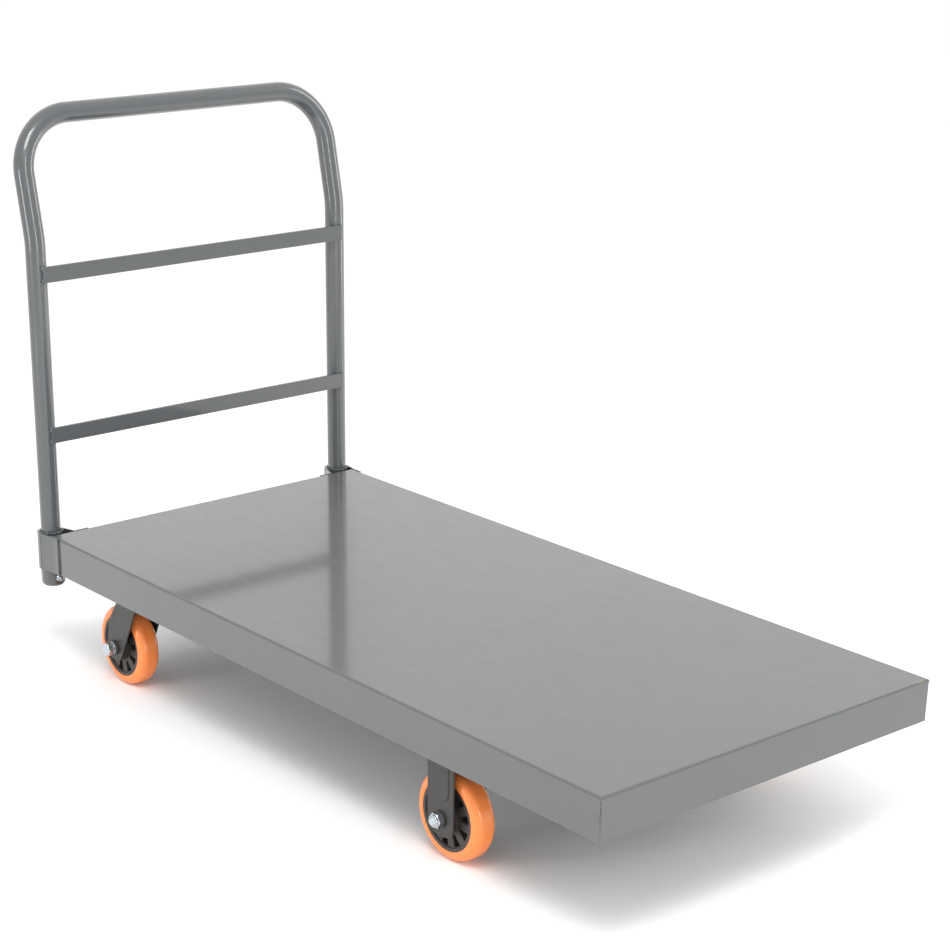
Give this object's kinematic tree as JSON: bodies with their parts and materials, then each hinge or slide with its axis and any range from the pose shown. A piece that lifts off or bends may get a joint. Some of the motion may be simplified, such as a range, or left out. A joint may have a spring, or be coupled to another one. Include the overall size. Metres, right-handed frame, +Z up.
{
  "type": "platform cart",
  "caption": "Flat steel platform cart with a bent tube push handle at one end, swivel casters under the handle and rigid casters towards the free end.",
  "frame": {"origin": "on the floor under the middle of the whole cart's length and width", "axes": "+Z up, X along the deck with the handle at the -X end, Y across it with the right-hand side at -Y"},
  "size_m": [1.34, 0.6162, 0.8729],
  "materials": {
    "deck_paint": "satin",
    "fork_paint": "satin",
    "zinc": "bright zinc plated",
    "bearing_steel": "polished",
    "seal_rubber": "matte",
    "tread_polyurethane": "glossy",
    "core_plastic": "moulded"
  },
  "bodies": {
    "truck": {"deck_pan": "deck_paint", "swivel_channel": "deck_paint", "rigid_channel": "deck_paint", "rear_stiffener": "deck_paint", "middle_stiffener": "deck_paint", "front_stiffener": "deck_paint", "right_strap": "deck_paint", "left_strap": "deck_paint", "right_socket": "deck_paint", "left_socket": "deck_paint", "handle_bow": "deck_paint", "upper_crossbar": "deck_paint", "lower_crossbar": "deck_paint", "handle_bolts": "zinc", "handle_nuts": "zinc", "caster_bolts": "zinc", "caster_nuts": "zinc", "right_swivel_plate": "fork_paint", "right_kingpin": "zinc", "right_kingpin_nut": "zinc", "right_rigid_bracket": "fork_paint", "right_rigid_sleeve": "zinc", "right_rigid_bolt": "zinc", "right_rigid_nut": "zinc", "right_rigid_washers": "zinc", "left_swivel_plate": "fork_paint", "left_kingpin": "zinc", "left_kingpin_nut": "zinc", "left_rigid_bracket": "fork_paint", "left_rigid_sleeve": "zinc", "left_rigid_bolt": "zinc", "left_rigid_nut": "zinc", "left_rigid_washers": "zinc"},
    "right_swivel": {"right_swivel_fork": "fork_paint", "right_swivel_balls": "bearing_steel", "right_swivel_seal": "seal_rubber", "right_swivel_sleeve": "zinc", "right_swivel_bolt": "zinc", "right_swivel_nut": "zinc", "right_swivel_washers": "zinc"},
    "left_swivel": {"left_swivel_fork": "fork_paint", "left_swivel_balls": "bearing_steel", "left_swivel_seal": "seal_rubber", "left_swivel_sleeve": "zinc", "left_swivel_bolt": "zinc", "left_swivel_nut": "zinc", "left_swivel_washers": "zinc"},
    "right_swivel_wheel": {"right_swivel_tread": "tread_polyurethane", "right_swivel_core": "core_plastic", "right_swivel_bearings": "bearing_steel"},
    "right_rigid_wheel": {"right_rigid_tread": "tread_polyurethane", "right_rigid_core": "core_plastic", "right_rigid_bearings": "bearing_steel"},
    "left_swivel_wheel": {"left_swivel_tread": "tread_polyurethane", "left_swivel_core": "core_plastic", "left_swivel_bearings": "bearing_steel"},
    "left_rigid_wheel": {"left_rigid_tread": "tread_polyurethane", "left_rigid_core": "core_plastic", "left_rigid_bearings": "bearing_steel"}
  },
  "joints": [
    {"name": "right_swivel_turn", "type": "hinge", "parent": "truck", "child": "right_swivel", "pos_m": [-0.397, -0.257, 0.14], "axis": [0, 0, 1], "continuous": true},
    {"name": "right_swivel_wheel_roll", "type": "hinge", "parent": "right_swivel", "child": "right_swivel_wheel", "pos_m": [-0.437, -0.257, 0.0635], "axis": [0, 1, 0], "continuous": true},
    {"name": "right_rigid_wheel_roll", "type": "hinge", "parent": "truck", "child": "right_rigid_wheel", "pos_m": [0.358, -0.257, 0.0635], "axis": [0, 1, 0], "continuous": true},
    {"name": "left_swivel_turn", "type": "hinge", "parent": "truck", "child": "left_swivel", "pos_m": [-0.397, 0.257, 0.14], "axis": [0, 0, 1], "continuous": true},
    {"name": "left_swivel_wheel_roll", "type": "hinge", "parent": "left_swivel", "child": "left_swivel_wheel", "pos_m": [-0.437, 0.257, 0.0635], "axis": [0, 1, 0], "continuous": true},
    {"name": "left_rigid_wheel_roll", "type": "hinge", "parent": "truck", "child": "left_rigid_wheel", "pos_m": [0.358, 0.257, 0.0635], "axis": [0, 1, 0], "continuous": true}
  ]
}
